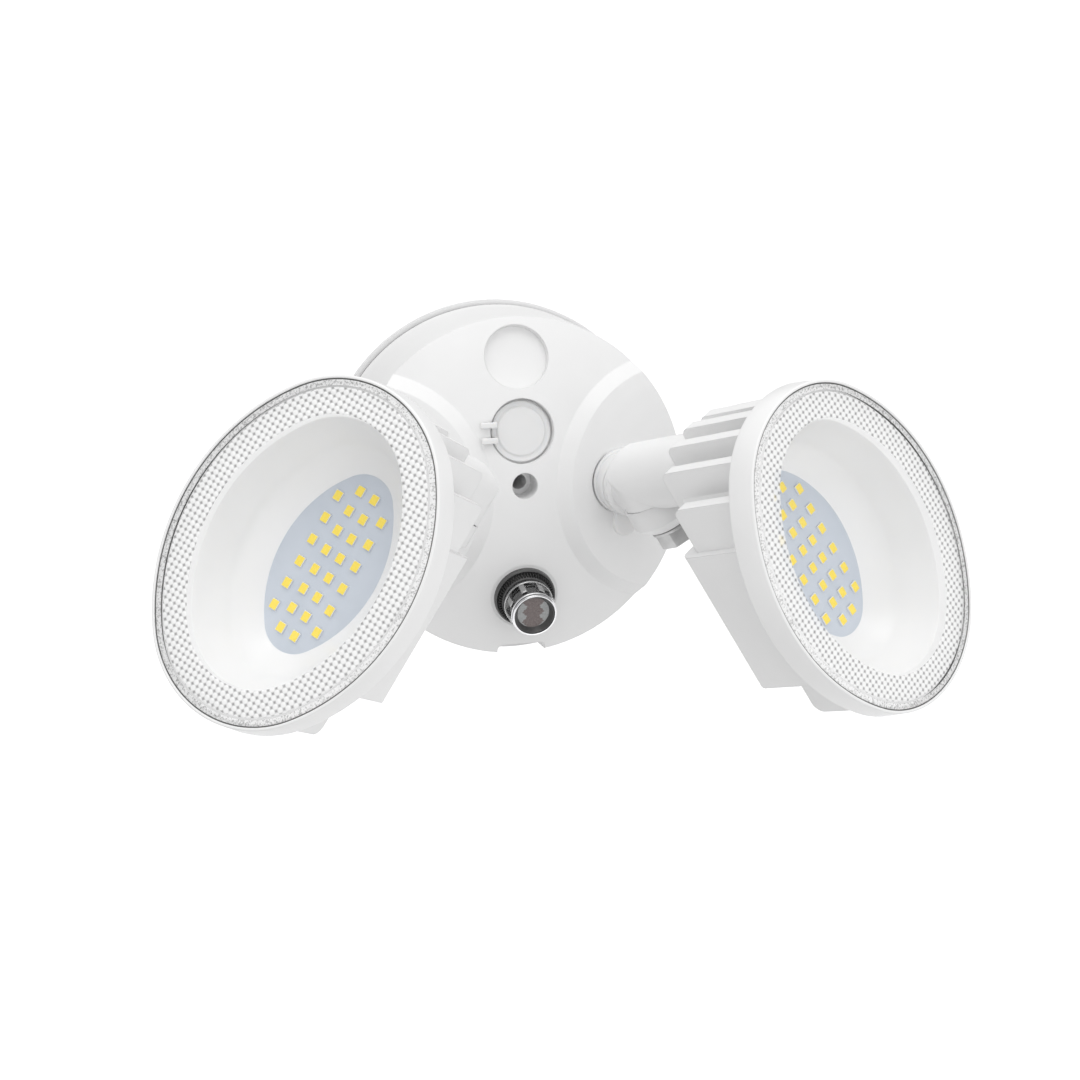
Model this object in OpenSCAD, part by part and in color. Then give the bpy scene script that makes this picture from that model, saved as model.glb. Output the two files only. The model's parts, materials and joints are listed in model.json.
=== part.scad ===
// Twin-head LED floodlight with a round wall canopy, a dusk sensor and two aimable heads.
// Frame: origin at the centre of the wall face, X across, -Y out of the wall, Z up, in mm.

/* [Canopy] */
// Radius of the back plate that covers the junction box
plate_r = 65; // [64.5:0.1:66]
// Thickness of the back plate
plate_t = 3; // [3:0.1:3.4]
// How far the middle of the domed cover stands off the wall
dome_d = 54; // [53.8:0.1:54.2]
// Wall thickness of the cover
wall = 3; // [2.6:0.1:3.2]

/* [Arms] */
// Distance of each arm from the middle plane
hub_x = 37.5; // [37:0.1:38]
// Turn of the right arm in the rest pose
swivel_right = 29.7; // [20:0.1:40]
// Turn of the left arm in the rest pose
swivel_left = 33.1; // [20:0.1:40]
// Outward tilt of the right head in the rest pose
tilt_right = 28.9; // [24:0.1:45]
// Outward tilt of the left head in the rest pose
tilt_left = 41.4; // [24:0.1:45]

/* [Heads] */
// Thickness of each cooling rib
rib_t = 4.4; // [3.6:0.1:5]
// Depth of the ribs behind the front rim
rib_d = 49; // [46:0.5:50]
// Spacing of the LEDs in the two outer columns
led_pitch_outer = 8.1; // [7.6:0.1:8.4]
// Spacing of the LEDs in the two inner columns
led_pitch_inner = 7.2; // [6.9:0.1:7.4]

/* [Hidden] */

$fn = 96;
e = 0.01;
// canopy
gasket_t = 1;
cover_y = plate_t + gasket_t;
drum_r0 = 63.4;
drum_r1 = 62.6;
dome_r = 157;
dome_c = dome_r - dome_d;
pad_h = 3;
pad_turn = 21.1;
pad_far = 150.9;
pad_r = 44.8;
hub_z = 2;
seat_y = 53.3;
seat_r = 12.4;
seal_t = 3.7;
thread_r = 10.15;
nut_turn = 8;
sensor_t = 14.6;
port_r = 11.8;
port_t = 8.2;
blank_t = 18.1;
mount_z = 2.5;
screw_r = 53;
// arms: local origin at the tilt pivot, +Y towards the wall, Z along the tilt axis
pivot_y = -92;
stem_r = 9.2;
knuckle_r = 12.5;
lug_r = 11.6;
split_z = 2;
knuckle_gap = 0.25;
lug_h = 10;
neck_z = 9.5;
neck_r = 12.2;
nose_y = 2;
shank_r = 2.45;
// heads: local origin at the centre of the front rim, +Y is depth, Z is the long way
face_back = 82;
face_drop = 30;
oval_u = 57.5;
oval_w = 44.5;
cap_r = 37;
cap_c = oval_u - cap_r;
side_r = (oval_w * oval_w + cap_c * cap_c - cap_r * cap_r) / (2 * (oval_w - cap_r));
side_c = side_r - oval_w;
oval_step = 3;
rib_pitch = 9.5;
rib_drop = [0, 0, 2, 10];
rib_in = 2.1;
bezel_d = 10.4;
block_d = 43;
block_in = 8.5;
room_in = 14.2;
board_d = 25.2;

// where the rim curve lies along the long way at cross position w
function rim_u(w, i) =
  abs(w) < (cap_r - i) * side_c / (side_r - cap_r)
    ? cap_c + sqrt(pow(cap_r - i, 2) - w * w)
    : sqrt(pow(side_r - i, 2) - pow(abs(w) + side_c, 2));

// point on the four-arc oval where its outward normal points at angle a
function oval_point(a, i) =
  abs(sin(a)) < cap_c / (side_r - cap_r)
    ? [-sign(cos(a)) * side_c + (side_r - i) * cos(a), (side_r - i) * sin(a)]
    : [(cap_r - i) * cos(a), sign(sin(a)) * cap_c + (cap_r - i) * sin(a)];

// ---------- shared shapes ----------
// cylinder along +Y starting at y
module rod(x, y, z, r, h) {
  translate([x, y, z]) rotate([-90, 0, 0]) cylinder(h = h, r = r);
}

module cone(x, y, z, ra, rb, h) {
  translate([x, y, z]) rotate([-90, 0, 0]) cylinder(h = h, r1 = ra, r2 = rb);
}

// flat four-arc oval, inset by i all round
module oval_flat(i) {
  polygon([for (a = [0 : oval_step : 360 - oval_step]) oval_point(a, i)]);
}

module oval_slice(d, i, h) {
  translate([0, d, 0]) rotate([-90, 0, 0]) linear_extrude(height = h) oval_flat(i);
}

// four-arc oval from depth d0 to d1, inset i0 at the front and i1 at the back
module oval(d0, d1, i0, i1) {
  if (i0 == i1)
    oval_slice(d0, i0, d1 - d0);
  else
    hull() {
      oval_slice(d0, i0, e);
      oval_slice(d1 - e, i1, e);
    }
}

module oval_ring(d0, d1, out_i, in_i) {
  difference() {
    oval(d0, d1, out_i, out_i);
    oval(d0 - 1, d1 + 1, in_i, in_i);
  }
}

module on_arm(side, turn) {
  mirror([side < 0 ? 1 : 0, 0, 0])
    translate([hub_x, pivot_y, hub_z])
      rotate([0, -turn, 0])
        children();
}

module on_head(side, turn, tilt) {
  on_arm(side, turn)
    rotate([0, 0, tilt])
      translate([0, -face_back, -face_drop])
        children();
}

// rounded plate in the depth / long-way plane, rounded at the back corners
module rib_shape(u0, u1, d0, d1, r, up) {
  far = up > 0 ? u1 - r : u0 + r;
  square_lo = up > 0 ? u0 : u0 + r;
  square_hi = up > 0 ? u1 - r : u1;
  translate([d0, square_lo]) square([d1 - d0, square_hi - square_lo]);
  translate([d0, u0]) square([d1 - r - d0, u1 - u0]);
  translate([d1 - r, far]) circle(r = r);
}

// ---------- canopy ----------
module back_plate() {
  color("white")
    difference() {
      rod(0, -plate_t, 0, plate_r, plate_t);
      rod(0, -plate_t - 1, mount_z, 3.2, plate_t + 2);
      rod(0, -plate_t - 1, -22, 10, plate_t + 2);
      for (x = [-35, 35])
        rod(x, -plate_t - 1, 0, 2.6, plate_t + 2);
      for (x = [-44.5, 44.5])
        rod(x, -plate_t - 1, 0, 2.6, plate_t + 2);
      for (a = [45, 135, 225, 315]) {
        rod(screw_r * cos(a), -plate_t - 1, screw_r * sin(a), 2.1, plate_t + 2);
        rod(screw_r * cos(a), -2, screw_r * sin(a), 4, 3);
      }
    }
}

module cover_gasket() {
  color("dimgray")
    difference() {
      rod(0, -cover_y, 0, 63.3, gasket_t);
      rod(0, -cover_y - 1, 0, 60.2, gasket_t + 2);
    }
}

// places a piece on the dome, turned by t about X: local -Y points straight out of the dome
module on_dome(t) {
  translate([0, dome_c, 0]) rotate([t, 0, 0]) translate([0, -dome_r, 0]) children();
}

module cover_solid() {
  intersection() {
    cone(0, -dome_d - 6, 0, drum_r1 - 0.2, drum_r0, dome_d + 6 - cover_y);
    union() {
      translate([0, dome_c, 0]) sphere(r = dome_r, $fn = 180);
      // raised pads that carry the arms, bounded by curved bevels
      for (s = [-1, 1])
        hull()
          intersection() {
            translate([0, dome_c, 0])
              rotate([0, 0, s * pad_turn])
                rotate([90, 0, 0])
                  sphere(r = dome_r + pad_h, $fn = 128);
            translate([0, dome_c, 0])
              rotate([0, 0, s * pad_turn])
                cone(0, -pad_far - 12, 0, pad_r - 12, pad_r + 12, 24);
            rod(0, -70, 0, 75, 40);
          }
    }
  }
}

module cover_hollow() {
  difference() {
    intersection() {
      rod(0, -dome_d, 0, drum_r1 - wall, dome_d);
      translate([0, dome_c, 0]) sphere(r = dome_r - wall, $fn = 180);
    }
    // threaded bosses for the arms
    for (s = [-1, 1])
      rod(s * hub_x, -60, hub_z, 13, 28);
    // floors behind the two round ports
    on_dome(-port_t) rod(0, -5, 0, 13.6, 11.5);
    on_dome(-blank_t) rod(0, -5, 0, 13.2, 10.8);
    // centre mounting boss
    rod(0, -60, mount_z, 7.2, 60 - cover_y);
    // screw bosses
    for (a = [45, 135, 225, 315])
      rod(screw_r * cos(a), -60, screw_r * sin(a), 4.6, 60 - cover_y);
  }
}

module canopy_cover() {
  color("white")
    difference() {
      union() {
        cover_solid();
        for (s = [-1, 1])
          rod(s * hub_x, -seat_y, hub_z, seat_r, 6);
      }
      cover_hollow();
      // spot faces and threaded bores of the arms
      for (s = [-1, 1]) {
        rod(s * hub_x, -70, hub_z, seat_r + 0.1, 70 - seat_y);
        rod(s * hub_x, -70, hub_z, thread_r + 0.05, 60);
      }
      // sensor hole
      on_dome(sensor_t) {
        rod(0, -6, 0, 12.4, 6.6);
        rod(0, -6, 0, 8.75, 20);
      }
      // port with the selector window
      on_dome(-port_t) {
        rod(0, -8, 0, port_r, 12.2);
        translate([-6, -8, -2.5]) cube([12, 20, 5]);
      }
      // blank port
      on_dome(-blank_t) rod(0, -8, 0, port_r, 11.2);
      // centre bore
      rod(0, -70, mount_z, 4.7, 70 - 44);
      rod(0, -70, mount_z, 2.8, 80);
      // pilot holes
      for (a = [45, 135, 225, 315])
        rod(screw_r * cos(a), -24, screw_r * sin(a), 1.95, 24);
      // drain notch in the front edge under the sensor
      translate([0, -70, -59.2])
        rotate([-90, 0, 0])
          linear_extrude(height = 39) {
            translate([-9, 2]) square([18, 6]);
            translate([-7, 0]) square([14, 3]);
            for (s = [-1, 1])
              translate([s * 7, 2]) circle(r = 2);
          }
    }
}

module cover_screws() {
  color("silver")
    for (a = [45, 135, 225, 315])
      translate([screw_r * cos(a), 0, screw_r * sin(a)])
        difference() {
          union() {
            rod(0, -20, 0, 1.9, 18.5);
            rod(0, -2, 0, 3.6, 1.8);
          }
          for (q = [0, 90])
            rotate([0, q, 0])
              translate([-2.2, -1.2, -0.4]) cube([4.4, 2, 0.8]);
        }
}

// ---------- dusk sensor, drawn on the dome ----------
module sensor_body() {
  color("dimgray")
    on_dome(sensor_t) {
      rod(0, -4.6, 0, 8.6, 32);
      rod(0, 3.6, 0, 11.4, 2);
    }
}

module sensor_nut() {
  color("black")
    on_dome(sensor_t)
      difference() {
        union() {
          rod(0, -0.6, 0, 11.4, 1.2);
          rod(0, -3.8, 0, 10.7, 3.3);
          for (a = [0 : 15 : 345])
            rotate([0, a, 0])
              translate([10.3, -3.8, -0.65]) cube([1, 3.3, 1.3]);
        }
        rod(0, -12, 0, 8.65, 20);
      }
}

module sensor_cap() {
  color([0.6, 0.6, 0.6, 0.6])
    on_dome(sensor_t)
      difference() {
        union() {
          rod(0, -12.4, 0, 7.9, 7.8);
          rod(0, -6.2, 0, 9.2, 1.6);
          for (a = [22.5 : 45 : 360])
            rotate([0, a, 0])
              translate([6.5, -12, -1.9]) cube([2.6, 7.4, 3.8]);
        }
        rod(0, -21, 0, 6.6, 15.6);
      }
}

module sensor_ring() {
  color("silver")
    on_dome(sensor_t)
      difference() {
        cone(0, -15.4, 0, 8, 8.4, 3);
        rod(0, -16, 0, 7.5, 4);
      }
}

module sensor_eye() {
  color("rosybrown")
    on_dome(sensor_t)
      difference() {
        union() {
          rod(0, -12.6, 0, 6.2, 7.2);
          rod(0, -15, 0, 7.4, 2.5);
        }
        // sloping recess in front of the cell
        cone(0, -15.1, 0, 7.1, 6, 2.3);
      }
}

// ---------- selector under the round flap, drawn on the dome ----------
module selector_switch() {
  color("dimgray")
    on_dome(-port_t)
      difference() {
        translate([-8.5, 6.5, -4.5]) cube([17, 7, 9]);
        translate([-5.6, 6, -1.8]) cube([11.2, 5.1, 3.6]);
      }
}

module selector_slider() {
  color("black")
    on_dome(-port_t) {
      translate([-2, 7.5, -1.3]) cube([4, 3, 2.6]);
      translate([-1.3, 4.6, -1.3]) cube([2.6, 3, 2.6]);
    }
}

module selector_flap() {
  color("white")
    on_dome(-port_t) {
      cone(0, 2.7, 0, 11.2, 10.8, 1.2);
      rod(0, 2.1, 0, 9.2, 0.8);
      for (s = [-1, 1])
        translate([0, 0, s * 2.8]) {
          translate([-14.7, -0.8, -1.1]) cylinder(h = 2.2, r = 0.9);
          translate([-14.7, -1.7, -1.1]) cube([5.3, 1.2, 2.2]);
          translate([-10.9, -1.7, -1.1]) cube([1.5, 5.2, 2.2]);
        }
    }
}

// ---------- arms ----------
module hub_seal(side) {
  color("gainsboro")
    difference() {
      union() {
        rod(side * hub_x, -seat_y - 2.4, hub_z, 12, 2.4);
        rod(side * hub_x, -seat_y - seal_t, hub_z, 11.2, seal_t);
      }
      rod(side * hub_x, -seat_y - 10, hub_z, thread_r + 0.35, 20);
    }
}

module lock_nut(side) {
  color("white")
    translate([side * hub_x, -seat_y - seal_t - 6.3, hub_z])
      rotate([0, nut_turn, 0])
        difference() {
          union() {
            rod(0, 0, 0, 11.6, 6);
            translate([-4.2, 1.4, -15.2]) cube([8.4, 3.2, 11]);
            rod(0, 1.4, -15.2, 4.2, 3.2);
          }
          rod(0, -1, 0, thread_r + 0.05, 8);
        }
}

module arm_body() {
  color("white")
    difference() {
      union() {
        // stem with the threaded end
        rod(0, 0, 0, stem_r, 30);
        rod(0, 27.6, 0, thread_r, 31);
        rod(0, 24, 0, 11, 4);
        // lower lug of the knuckle, domed below
        intersection() {
          translate([0, 0, -lug_h]) cylinder(h = lug_h + split_z - knuckle_gap, r = lug_r);
          translate([0, 0, 2]) sphere(r = 14.2);
        }
      }
      // room for the upper lug of the head
      translate([0, 0, split_z - knuckle_gap]) cylinder(h = 20, r = knuckle_r + 0.8);
      // bore of the clamp screw
      translate([0, 0, -lug_h - 1]) cylinder(h = 30, r = shank_r + 0.05);
      // wire way
      rod(0, 17, 0, 5, 50);
    }
}

module clamp_screw() {
  color("silver") {
    translate([0, 0, -lug_h - 1.5]) cylinder(h = 1.2, r = 7.4);
    translate([0, 0, -lug_h - 7.4]) cylinder(h = 6, r = 6.9, $fn = 6);
    translate([0, 0, -lug_h - 0.4]) cylinder(h = lug_h + 13.4, r = shank_r);
  }
}

// ---------- heads ----------
// upper lug and neck, drawn with the tilt pivot as origin
module neck() {
  difference() {
    intersection() {
      union() {
        translate([0, knuckle_r, neck_z]) rotate([90, 0, 0]) cylinder(h = 66, r = neck_r);
        translate([0, -nose_y, split_z]) cylinder(h = neck_z - split_z, r = neck_r);
      }
      // round nose over the stem, straight along the neck
      union() {
        translate([0, -nose_y, -5]) cylinder(h = 35, r = neck_r);
        translate([-20, -60, -5]) cube([40, 60 - nose_y, 35]);
      }
      union() {
        translate([0, -nose_y, neck_z - 4]) sphere(r = 16.5);
        translate([-20, -60, -5]) cube([40, 57 - nose_y, 35]);
      }
    }
    translate([0, 0, -20]) cylinder(h = 20 + split_z + knuckle_gap, r = knuckle_r + 0.8);
  }
}

// heat block behind the dish, with sloping rear corners
module block(half, back, u0, u1) {
  intersection() {
    oval(bezel_d, block_d + 1, block_in, block_in);
    translate([0, 0, u0])
      linear_extrude(height = u1 - u0)
        polygon([[-half, bezel_d], [half, bezel_d], [half, back - 10], [half - 8, back],
          [8 - half, back], [-half, back - 10]]);
  }
}

module housing_body() {
  color("white")
    difference() {
      union() {
        // front flange inside the bezel and the dish behind it
        oval(4.6, bezel_d + 0.6, 1.7, 1.7);
        oval(bezel_d, 20, 4, 10.5);
        block(30, block_d, 18, 52);
        block(27, 31, -52, -26);
        // driver box with rounded rear edges
        intersection() {
          translate([-40, 0, 0])
            rotate([90, 0, 90])
              linear_extrude(height = 80)
                rib_shape(-30, 24, bezel_d, 45, 4, -1);
          translate([0, 0, -31])
            linear_extrude(height = 56) {
              translate([-33.5, bezel_d]) square([67, 41 - bezel_d]);
              translate([-29.5, bezel_d]) square([59, 45 - bezel_d]);
              for (s = [-1, 1])
                translate([s * 29.5, 41]) circle(r = 4);
            }
        }
        // cooling ribs above and below the box
        for (k = [-3 : 3]) {
          top = rim_u(k * rib_pitch, rib_in);
          back = rib_d - rib_drop[abs(k)];
          translate([k * rib_pitch - rib_t / 2, 0, 0])
            rotate([90, 0, 90])
              linear_extrude(height = rib_t)
                rib_shape(22, top, bezel_d + 0.3, back, 3, 1);
          if (abs(k) < 3)
            translate([k * rib_pitch - rib_t / 2, 0, 0])
              rotate([90, 0, 90])
                linear_extrude(height = rib_t)
                  rib_shape(-top, -26, bezel_d + 0.3, back - 8, 4, -1);
        }
        translate([0, face_back, face_drop]) neck();
      }
      // front room for reflector and board
      oval(4, 16, 9.8, room_in);
      oval(15.9, 27, room_in, 16);
      // driver pocket in the box
      translate([-26, 20, -26]) cube([52, 21.5, 30]);
      // wire way through the neck
      rod(0, 24, face_drop + neck_z, 4.2, face_back - 24 - 17);
      translate([-4, 20, 2]) cube([8, 8, 38]);
      // hole of the clamp screw
      translate([0, face_back, face_drop - 20]) cylinder(h = 33.6, r = shank_r + 0.05);
    }
}

module bezel_body() {
  color("white")
    difference() {
      oval(0, bezel_d, -1.0, -1.8);
      oval(-1, 2.95, 0, 0);
      oval(2.9, 4.65, 4.2, 4.2);
      oval(4.6, bezel_d + 1, 1.7, 1.7);
    }
}

module lens_seal_body() {
  color("dimgray")
    difference() {
      oval(0.5, 2.95, 0, 0);
      oval(0, 2.35, 0.45, 0.45);
      oval(2.3, 4, 1.2, 1.2);
    }
}

module lens_body() {
  color([0.85, 0.9, 0.95, 0.4]) {
    oval(0.35, 2.35, 0.45, 0.45);
    oval_ring(0.15, 0.36, 3, 11.5);
  }
}

module reflector_body() {
  color("white")
    difference() {
      union() {
        oval(3.2, 4.6, 4.2, 4.2);
        oval(4.5, 16, 10.6, 15.4);
        oval(15.9, 25, 15.4, 25);
      }
      oval(2, 3.3, 11.9, 11.9);
      oval(3.2, 16, 11.9, 17.2);
      oval(15.9, 26, 17.2, 26.6);
    }
}

module led_board_body() {
  color("lightsteelblue")
    oval(board_d, 27, 20, 20);
}

module led_body() {
  color("gold") {
    for (s = [-1, 1]) {
      for (k = [0 : 7])
        translate([s * 2.95, board_d - 0.9, (k - 3.5) * led_pitch_inner])
          translate([-1.4, 0, -1.75]) cube([2.8, 0.9, 3.5]);
      for (k = [0 : 5])
        translate([s * 9.15, board_d - 0.9, (k - 2.5) * led_pitch_outer])
          translate([-1.4, 0, -1.75]) cube([2.8, 0.9, 3.5]);
    }
  }
}

module driver_body() {
  color("green") {
    translate([-24, 38.6, -24.5]) cube([48, 1.6, 27]);
    translate([-20, 29, -20]) cube([13, 9.6, 14]);
    translate([14, 28.6, -14]) rotate([-90, 0, 0]) cylinder(h = 10, r = 5);
    translate([-2, 32.6, -18]) cube([8, 6, 8]);
  }
}

// ---------- right side ----------
module right_hub_seal() { hub_seal(1); }
module right_lock_nut() { lock_nut(1); }
module right_arm() { on_arm(1, swivel_right) arm_body(); }
module right_clamp_screw() { on_arm(1, swivel_right) clamp_screw(); }
module right_housing() { on_head(1, swivel_right, tilt_right) housing_body(); }
module right_bezel() { on_head(1, swivel_right, tilt_right) bezel_body(); }
module right_lens_seal() { on_head(1, swivel_right, tilt_right) lens_seal_body(); }
module right_lens() { on_head(1, swivel_right, tilt_right) lens_body(); }
module right_reflector() { on_head(1, swivel_right, tilt_right) reflector_body(); }
module right_led_board() { on_head(1, swivel_right, tilt_right) led_board_body(); }
module right_leds() { on_head(1, swivel_right, tilt_right) led_body(); }
module right_driver() { on_head(1, swivel_right, tilt_right) driver_body(); }

// ---------- left side ----------
module left_hub_seal() { hub_seal(-1); }
module left_lock_nut() { lock_nut(-1); }
module left_arm() { on_arm(-1, swivel_left) arm_body(); }
module left_clamp_screw() { on_arm(-1, swivel_left) clamp_screw(); }
module left_housing() { on_head(-1, swivel_left, tilt_left) housing_body(); }
module left_bezel() { on_head(-1, swivel_left, tilt_left) bezel_body(); }
module left_lens_seal() { on_head(-1, swivel_left, tilt_left) lens_seal_body(); }
module left_lens() { on_head(-1, swivel_left, tilt_left) lens_body(); }
module left_reflector() { on_head(-1, swivel_left, tilt_left) reflector_body(); }
module left_led_board() { on_head(-1, swivel_left, tilt_left) led_board_body(); }
module left_leds() { on_head(-1, swivel_left, tilt_left) led_body(); }
module left_driver() { on_head(-1, swivel_left, tilt_left) driver_body(); }

back_plate();
cover_gasket();
canopy_cover();
cover_screws();
sensor_body();
sensor_nut();
sensor_cap();
sensor_ring();
sensor_eye();
selector_switch();
selector_slider();
selector_flap();
right_hub_seal();
right_lock_nut();
right_arm();
right_clamp_screw();
right_housing();
right_bezel();
right_lens_seal();
right_lens();
right_reflector();
right_led_board();
right_leds();
right_driver();
left_hub_seal();
left_lock_nut();
left_arm();
left_clamp_screw();
left_housing();
left_bezel();
left_lens_seal();
left_lens();
left_reflector();
left_led_board();
left_leds();
left_driver();
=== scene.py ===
"""Looks of a twin-head LED floodlight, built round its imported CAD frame.

Outlines are in mm, in the local frame of the part that they belong to; piece() turns them into metres.
"""

import json
import math

import bmesh
import bpy
from mathutils import Matrix, Vector, noise


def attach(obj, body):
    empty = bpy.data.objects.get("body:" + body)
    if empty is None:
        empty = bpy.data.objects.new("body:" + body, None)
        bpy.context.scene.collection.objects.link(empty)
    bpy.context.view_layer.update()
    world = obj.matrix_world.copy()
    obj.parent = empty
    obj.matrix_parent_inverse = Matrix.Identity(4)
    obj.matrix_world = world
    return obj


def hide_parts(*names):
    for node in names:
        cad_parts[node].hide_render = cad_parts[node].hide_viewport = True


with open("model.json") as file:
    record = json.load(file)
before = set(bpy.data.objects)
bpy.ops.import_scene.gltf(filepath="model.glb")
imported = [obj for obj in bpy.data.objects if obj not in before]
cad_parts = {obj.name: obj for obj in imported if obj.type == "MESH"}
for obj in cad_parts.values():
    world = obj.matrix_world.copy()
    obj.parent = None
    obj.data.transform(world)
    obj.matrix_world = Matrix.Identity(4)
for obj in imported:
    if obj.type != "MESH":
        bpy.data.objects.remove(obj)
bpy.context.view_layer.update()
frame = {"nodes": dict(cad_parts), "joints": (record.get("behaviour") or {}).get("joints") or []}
nodes = frame["nodes"]
joints = {j["name"]: j for j in frame["joints"]}
MM = 0.001

# ---------------------------------------------------------------- frames of the parts
HUB = (37.5, -92, 2)          # tilt pivot of the right arm
FACE_BACK, FACE_DROP = 82, 30  # from the pivot to the centre of the front rim
TILT_MIN = 12                 # the tilt joint's lower stop, measured from straight ahead
DOME_R, DOME_C = 157, 103     # radius of the cover's dome, and how far behind the wall its centre is
SENSOR_T, PORT_T = 14.6, -8.2  # how far the sensor sits below the dome's axis, and the port above it


def turn(axis, degrees):
    return Matrix.Rotation(math.radians(degrees), 4, axis)


def arm_frame(side):
    """Local frame of an arm: origin at the tilt pivot, +Y to the wall, Z along the tilt axis."""
    swivel = -joints[side + "_swivel"]["range_deg"][0]
    m = Matrix.Translation(HUB) @ turn("Y", -swivel)
    if side == "left":
        m = Matrix.Scale(-1, 4, (1, 0, 0)) @ m
    return Matrix.Scale(MM, 4) @ m


def head_frame(side):
    """Local frame of a head: origin at the centre of the front rim, +Y is depth, Z the long way."""
    tilt = TILT_MIN - joints[side + "_tilt"]["range_deg"][0]
    return arm_frame(side) @ turn("Z", tilt) @ Matrix.Translation((0, -FACE_BACK, -FACE_DROP))


def dome_frame(t):
    """Local frame on the cover's dome, turned by t: -Y points straight out."""
    centre = Matrix.Translation((0, DOME_C, 0))
    return Matrix.Scale(MM, 4) @ centre @ turn("X", t) @ Matrix.Translation((0, -DOME_R, 0))


def hub_frame(side):
    """Frame on an arm's stem axis, at the wall: +Y to the wall."""
    s = 1 if side == "right" else -1
    return Matrix.Scale(MM, 4) @ Matrix.Translation((s * HUB[0], 0, HUB[2]))


# ---------------------------------------------------------------- the heads' oval
OVAL_U, OVAL_W, CAP_R = 57.5, 44.5, 37
CAP_C = OVAL_U - CAP_R
SIDE_R = (OVAL_W ** 2 + CAP_C ** 2 - CAP_R ** 2) / (2 * (OVAL_W - CAP_R))
SIDE_C = SIDE_R - OVAL_W
NUDGE = 1e-4  # turns every station a hair, so that none falls just where two arcs meet


def oval_point(a, inset):
    """Point of the four-arc oval whose outward normal points at angle a."""
    c, s = math.cos(a), math.sin(a)
    if abs(s) < CAP_C / (SIDE_R - CAP_R):
        return -math.copysign(SIDE_C, c) + (SIDE_R - inset) * c, (SIDE_R - inset) * s
    return (CAP_R - inset) * c, math.copysign(CAP_C, s) + (CAP_R - inset) * s


def oval_stations(n, inset):
    """n points round the oval, as (across, along)."""
    return [oval_point(2 * math.pi * j / n + NUDGE, inset) for j in range(n)]


# ---------------------------------------------------------------- mesh helpers
NEARLY_FLAT = math.radians(88)  # a corner whose half angle is wider than this stays as it is


def fillet(points, radii, steps=4):
    """Closed outline with its corners rounded, each by its own radius."""
    out = []
    n = len(points)
    for i, (p, r) in enumerate(zip(points, radii)):
        p = Vector(p)
        a = Vector(points[i - 1]) - p
        b = Vector(points[(i + 1) % n]) - p
        half = a.angle(b) / 2
        if r <= 0 or half > NEARLY_FLAT:
            out.append(tuple(p))
            continue
        # two roundings may share an edge, so each takes less than half of it
        reach = min(r / math.tan(half), a.length * 0.49, b.length * 0.49)
        r = reach * math.tan(half)
        a.normalize()
        b.normalize()
        centre = p + (a + b).normalized() * (r / math.sin(half))
        p0, p1 = p + a * reach - centre, p + b * reach - centre
        sweep = p0.angle_signed(p1)
        for k in range(steps + 1):
            t = sweep * k / steps
            # angle_signed is clockwise
            c, s = math.cos(-t), math.sin(-t)
            out.append((centre.x + p0.x * c - p0.y * s, centre.y + p0.x * s + p0.y * c))
    return out


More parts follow.
